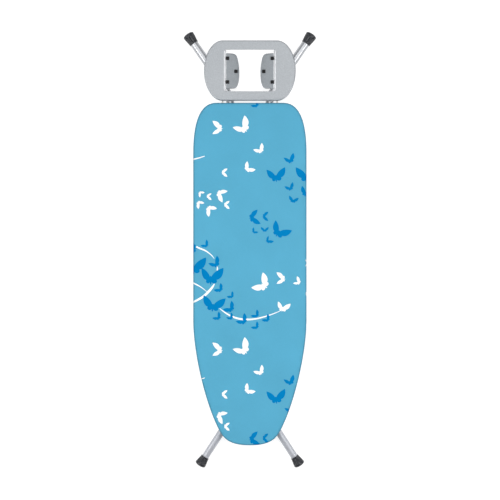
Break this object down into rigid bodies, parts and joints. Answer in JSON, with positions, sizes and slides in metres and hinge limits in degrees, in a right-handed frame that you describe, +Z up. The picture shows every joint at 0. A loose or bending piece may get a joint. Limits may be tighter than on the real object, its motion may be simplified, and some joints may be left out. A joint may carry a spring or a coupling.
{
  "type": "ironing board",
  "caption": "Folding ironing board with scissor legs, fitted printed cover over a padded deck, and a sheet-metal iron rest at the tail, lying folded.",
  "frame": {"origin": "on the floor under the bolts where the two legs cross, at the middle of the overall length and width, with the board lying folded", "axes": "+Z up out of the ironing surface, +Y towards the tail and the iron rest, -Y towards the nose, +X towards the release lever's grip"},
  "size_m": [0.466, 1.5365, 0.061],
  "materials": {
    "leg_paint": "satin silver-grey powder coat",
    "frame_paint": "satin silver-grey powder coat",
    "galvanised": "dull galvanised sheet",
    "zinc": "bright zinc plating",
    "rest_paint": "fine-textured silver-grey powder coat",
    "black_rubber": "matte ribbed rubber",
    "black_plastic": "fine-grained moulding",
    "white_nylon": "satin nylon",
    "felt": "needled felt",
    "cover_fabric": "printed plain-weave cotton",
    "elastic": "braided elastic"
  },
  "bodies": {
    "board": {"rim_tube": "frame_paint", "cross_member_front": "frame_paint", "cross_member_middle": "frame_paint", "cross_member_rear": "frame_paint", "pivot_bracket_left": "frame_paint", "pivot_bracket_right": "frame_paint", "mesh_deck": "galvanised", "rack_plate_left": "galvanised", "rack_plate_right": "galvanised", "pivot_pin_left": "zinc", "pivot_pin_right": "zinc", "lever_return_spring": "zinc", "rest_wire": "zinc", "iron_rest_plate": "rest_paint", "rest_pad_left_front": "black_rubber", "rest_pad_left_middle": "black_rubber", "rest_pad_left_rear": "black_rubber", "rest_pad_right_front": "black_rubber", "rest_pad_right_middle": "black_rubber", "rest_pad_right_rear": "black_rubber", "lever_bearing_front": "white_nylon", "lever_bearing_rear": "white_nylon", "underlay_pad": "felt", "cover": "cover_fabric", "hem_elastic": "elastic"},
    "rear_leg": {"rear_tube_left": "leg_paint", "rear_tube_right": "leg_paint", "rear_brace": "leg_paint", "rear_foot_left": "black_rubber", "rear_foot_right": "black_rubber", "rear_plug_left": "black_plastic", "rear_plug_right": "black_plastic", "middle_bolt_left": "zinc", "middle_bolt_right": "zinc", "middle_spacer_left": "white_nylon", "middle_spacer_right": "white_nylon", "middle_nut_left": "zinc", "middle_nut_right": "zinc"},
    "front_leg": {"front_tube_left": "leg_paint", "front_tube_right": "leg_paint", "front_brace_lower": "leg_paint", "front_brace_upper": "leg_paint", "front_foot_left": "black_rubber", "front_foot_right": "black_rubber", "front_plug_left": "black_plastic", "front_plug_right": "black_plastic", "slide_rod": "zinc", "slide_glide_left": "white_nylon", "slide_glide_right": "white_nylon"},
    "release_lever": {"lever_shaft": "zinc", "lever_push_bar": "galvanised", "lever_arm": "galvanised", "lever_grip": "black_plastic"}
  },
  "joints": [
    {"name": "leg_fold", "type": "hinge", "parent": "board", "child": "rear_leg", "pos_m": [0, -0.4, 0.02], "axis": [-1, 0, 0], "range_deg": [0, 48.2]},
    {"name": "front_leg_fold", "type": "hinge", "parent": "rear_leg", "child": "front_leg", "pos_m": [0, 0, 0.02], "axis": [1, 0, 0], "range_deg": [0, 96.4]},
    {"name": "lever_squeeze", "type": "hinge", "parent": "board", "child": "release_lever", "pos_m": [0.06, 0, 0.047], "axis": [0, -1, 0], "range_deg": [0, 6], "stiffness_Nm_per_rad": 1.5, "springref_deg": -8.59}
  ],
  "couplings": [
    {"joint": "front_leg_fold", "follows": "leg_fold", "ratio": 2}
  ]
}
